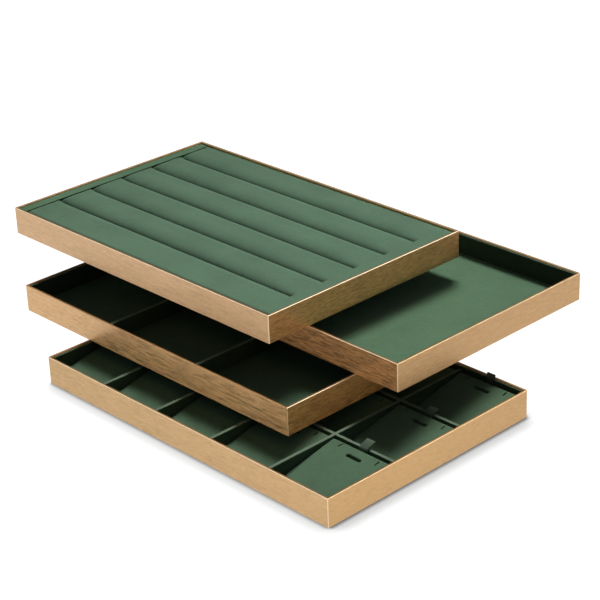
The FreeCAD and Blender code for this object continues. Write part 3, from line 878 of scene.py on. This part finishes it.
def doubled(centre, gap, tip):
    """Two layers of ribbon along a middle line, joined round its far end."""
    n = len(centre)
    normals = []
    for i in range(n):
        a, b = centre[max(0, i - 1)], centre[min(n - 1, i + 1)]
        dy, dz = b[0] - a[0], b[1] - a[1]
        k = math.hypot(dy, dz)
        normals.append((-dz / k, dy / k))
    under = [(y - gap * ny, z - gap * nz) for (y, z), (ny, nz) in zip(centre, normals)]
    over = [(y + gap * ny, z + gap * nz) for (y, z), (ny, nz) in zip(centre, normals)]
    (y, z), (ny, nz) = centre[-1], normals[-1]
    ty, tz = nz, -ny
    turn = []
    for i in range(1, 8):
        a = math.pi * i / 8 - math.pi / 2
        turn.append((y + tip * math.cos(a) * ty + tip * math.sin(a) * ny,
                     z + tip * math.cos(a) * tz + tip * math.sin(a) * nz))
    return under + turn + list(reversed(over))


def bent_path(points, r, curl):
    """A line through points with its corners rounded off; its last run bows by curl."""
    path = [points[0]]
    for p, q, n in zip(points, points[1:], points[2:]):
        cut = []
        for e in (p, n):
            span = math.hypot(e[0] - q[0], e[1] - q[1])
            k = min(r, span * 0.45) / span
            cut.append((q[0] + (e[0] - q[0]) * k, q[1] + (e[1] - q[1]) * k))
        for i in range(7):
            t = i / 6
            path.append(tuple((1 - t) ** 2 * cut[0][c] + 2 * t * (1 - t) * q[c] + t * t * cut[1][c]
                              for c in (0, 1)))
    a, b = path[-1], points[-1]
    span = math.hypot(b[0] - a[0], b[1] - a[1])
    ny, nz = -(b[1] - a[1]) / span, (b[0] - a[0]) / span
    for i in range(1, 9):
        t = i / 8
        bow = curl * math.sin(math.pi * t)
        path.append((a[0] + (b[0] - a[0]) * t + bow * ny, a[1] + (b[1] - a[1]) * t + bow * nz))
    return doubled(path, 0.26, 0.32)


def folded_path():
    pts = [(FLEN - 1.0 - 0.6 * i, FR + 0.28) for i in range(12)]
    far = pts[-1][0]
    r = 0.3
    for i in range(1, 8):
        a = math.pi * i / 8 + math.pi / 2
        pts.append((far + r * 1.3 * math.cos(a) - 0.05, FR + 0.58 - r * math.sin(a)))
    pts += [(far + 0.6 * i, FR + 0.88) for i in range(12)]
    return pts


def flap_and_tab(col, row, body, flap_node, tab_node, name, path, cloth=RIBBON):
    m = cell_matrix(col, row)
    seed = 3.7 * col + 11.3 * row
    v, f = flap_mesh(seed)
    # the flaps take the darker green: painted shade
    ob = piece("flap_" + name, v, f, SUEDE_SHADED_FLAP, matrix=m, sharp=62.0)
    ride(ob, body, flap_node, padded=0.7)
    v, f = ribbon_mesh(path, 8.0, 0.42, 0.0, 0.0, seed)
    tab = piece("tab_" + name, v, f, cloth, matrix=m, sharp=55.0)
    ride(tab, body, tab_node)


for row, where in enumerate(("front", "middle", "back")):
    # a tab starts low on the flap's end and rises close to the divider, then bends back over it;
    # the last one stands up against the back wall
    # the middle and back tabs take darker copies of the ribbon: painted shade
    end, cloth = {"front": ([(66.0, 2.5), (74.8, 4.35)], RIBBON),
                  "middle": ([(66.0, 2.5), (72.2, 4.0)], RIBBON_HALF_SHADE),
                  "back": ([(66.0, 2.6), (68.3, 8.0)], RIBBON_DEEP_SHADE)}[where]
    path = bent_path([(FLEN - 0.7, -0.7), (65.5, -0.7)] + end, 0.9, 0.2)
    flap_and_tab(4, row, "flap_" + where, "pendant_flap_" + where, "pendant_tab_" + where,
                 where + "_right", path, cloth)
    for col in range(4):
        flap_and_tab(col, row, "pendant_tray", "pendant_flaps_covered", "pendant_tabs_covered",
                     "%s_%d" % (where, col + 1), folded_path())


# ------------------------------------------------------------------------------ stage and light
def make_floor():
    me = bpy.data.meshes.new("floor")
    s = 6.0
    me.from_pydata([(-s, -s, 0), (s, -s, 0), (s, s, 0), (-s, s, 0)], [], [(0, 1, 2, 3)])
    mat = bpy.data.materials.new("floor_white")
    mat.use_nodes = True
    t = mat.node_tree
    b = t.nodes["Principled BSDF"]
    b.inputs["Base Color"].default_value = (0.08, 0.08, 0.08, 1)
    b.inputs["Roughness"].default_value = 0.9
    b.inputs["Specular IOR Level"].default_value = 0.0
    b.inputs["Emission Color"].default_value = (1, 1, 1, 1)
    # the floor glows like a light table, with a painted contact shadow where the tray stands close
    # to it, leaning to the right-hand side
    shadow_lean = t.nodes.new("ShaderNodeCombineXYZ")
    for i, v in enumerate((-0.4, 0.0, 0.917)):
        shadow_lean.inputs[i].default_value = v
    glow_with_shadow = t.nodes.new("ShaderNodeMath")
    glow_with_shadow.operation = "MULTIPLY"
    for i, (reach, lo, hi) in enumerate(((0.022, 0.58, 1.1), (0.0045, 0.22, 1.0))):
        near = t.nodes.new("ShaderNodeAmbientOcclusion")
        near.samples = 8
        near.inputs["Distance"].default_value = reach
        t.links.new(shadow_lean.outputs[0], near.inputs["Normal"])
        fade = t.nodes.new("ShaderNodeMapRange")
        fade.inputs["From Min"].default_value = 0.45
        fade.inputs["From Max"].default_value = 0.95
        fade.inputs["To Min"].default_value = lo
        fade.inputs["To Max"].default_value = hi
        t.links.new(near.outputs["AO"], fade.inputs["Value"])
        t.links.new(fade.outputs["Result"], glow_with_shadow.inputs[i])
    # it lights the object evenly, and a little less than it shows
    seen = t.nodes.new("ShaderNodeLightPath")
    lit = t.nodes.new("ShaderNodeMix")
    lit.data_type = "FLOAT"
    lit.inputs[2].default_value = 0.9
    t.links.new(seen.outputs["Is Camera Ray"], lit.inputs[0])
    t.links.new(glow_with_shadow.outputs[0], lit.inputs[3])
    t.links.new(lit.outputs[0], b.inputs["Emission Strength"])
    clear = t.nodes.new("ShaderNodeBsdfTransparent")
    mixer = t.nodes.new("ShaderNodeMixShader")
    geo = t.nodes.new("ShaderNodeNewGeometry")
    t.links.new(geo.outputs["Backfacing"], mixer.inputs[0])
    t.links.new(b.outputs[0], mixer.inputs[1])
    t.links.new(clear.outputs[0], mixer.inputs[2])
    t.links.new(mixer.outputs[0], t.nodes["Material Output"].inputs["Surface"])
    me.materials.append(mat)
    ob = bpy.data.objects.new("floor", me)
    bpy.context.scene.collection.objects.link(ob)


def area(name, place, aim, size, watts, colour=(1, 1, 1)):
    data = bpy.data.lights.new(name, "AREA")
    data.shape = "RECTANGLE"
    data.size, data.size_y = size
    data.energy = watts
    data.color = colour
    ob = bpy.data.objects.new(name, data)
    ob.location = place
    ob.rotation_mode = "QUATERNION"
    ob.rotation_quaternion = (Vector(aim) - Vector(place)).to_track_quat("-Z", "Y")
    bpy.context.scene.collection.objects.link(ob)
    return ob


def make_light():
    world = bpy.data.worlds.new("studio")
    bpy.context.scene.world = world
    world.use_nodes = True
    t = world.node_tree
    t.nodes.clear()
    out = t.nodes.new("ShaderNodeOutputWorld")
    tc = t.nodes.new("ShaderNodeTexCoord")
    up = t.nodes.new("ShaderNodeSeparateXYZ")
    t.links.new(tc.outputs["Generated"], up.inputs[0])

    def sky(points, by=None):
        r = t.nodes.new("ShaderNodeValToRGB")
        e = r.color_ramp.elements
        while len(e) < len(points):
            e.new(0.5)
        for el, (pos, value) in zip(e, points):
            el.position = pos
            el.color = (value, value, value, 1)
        t.links.new(by or up.outputs["Z"], r.inputs["Fac"])
        bg = t.nodes.new("ShaderNodeBackground")
        t.links.new(r.outputs["Color"], bg.inputs["Color"])
        return bg

    seen = sky([(0.0, 1.0), (1.0, 1.0)])
    # what the metal mirrors: a dim room with one bright panel at the back on the right
    panel = t.nodes.new("ShaderNodeVectorMath")
    panel.operation = "DOT_PRODUCT"
    panel.inputs[1].default_value = (0.42, 0.62, 0.66)
    t.links.new(tc.outputs["Generated"], panel.inputs[0])
    shine = sky([(0.0, 0.1), (0.80, 0.1), (0.93, 1.0), (1.0, 1.0)], panel.outputs["Value"])
    shine.inputs["Strength"].default_value = 3.2
    # and a weaker one at the front on the left
    panel2 = t.nodes.new("ShaderNodeVectorMath")
    panel2.operation = "DOT_PRODUCT"
    panel2.inputs[1].default_value = (-0.66, -0.43, 0.62)
    t.links.new(tc.outputs["Generated"], panel2.inputs[0])
    shine2 = sky([(0.0, 0.0), (0.86, 0.0), (0.95, 1.0), (1.0, 1.0)], panel2.outputs["Value"])
    shine2.inputs["Strength"].default_value = 1.1
    mirrored = t.nodes.new("ShaderNodeAddShader")
    t.links.new(shine.outputs[0], mirrored.inputs[0])
    t.links.new(shine2.outputs[0], mirrored.inputs[1])
    fill = sky([(0.0, 0.02), (0.3, 0.25), (0.8, 1.0)])
    fill.inputs["Strength"].default_value = 0.02
    path = t.nodes.new("ShaderNodeLightPath")
    first = t.nodes.new("ShaderNodeMixShader")
    t.links.new(path.outputs["Is Glossy Ray"], first.inputs[0])
    t.links.new(seen.outputs[0], first.inputs[1])
    t.links.new(mirrored.outputs[0], first.inputs[2])
    second = t.nodes.new("ShaderNodeMixShader")
    t.links.new(path.outputs["Is Diffuse Ray"], second.inputs[0])
    t.links.new(first.outputs[0], second.inputs[1])
    t.links.new(fill.outputs[0], second.inputs[2])
    t.links.new(second.outputs[0], out.inputs["Surface"])
    key = area("key", (-0.85, 1.42, 2.76), (0.12, -0.06, 0.05), (1.3, 0.7), 6.0)
    key.data.spread = math.radians(35.0)
    front = area("front_fill", (0.34, -1.88, 0.022), (0.0, 0.0, 0.05), (1.3, 0.034), 20.0,
                 (1.0, 0.88, 0.74))
    side = area("corner_fill", (1.35, -1.3, 0.03), (0.0, 0.0, 0.05), (0.8, 0.04), 9.0,
                (1.0, 0.74, 0.46))
    for lamp in (key, front, side):
        lamp.visible_glossy = False
        lamp.visible_camera = False
    scene = bpy.context.scene
    scene.view_settings.view_transform = "Standard"
    scene.view_settings.look = "None"
    scene.view_settings.exposure = 0.0
    scene.view_settings.gamma = 1.0


make_floor()
make_light()
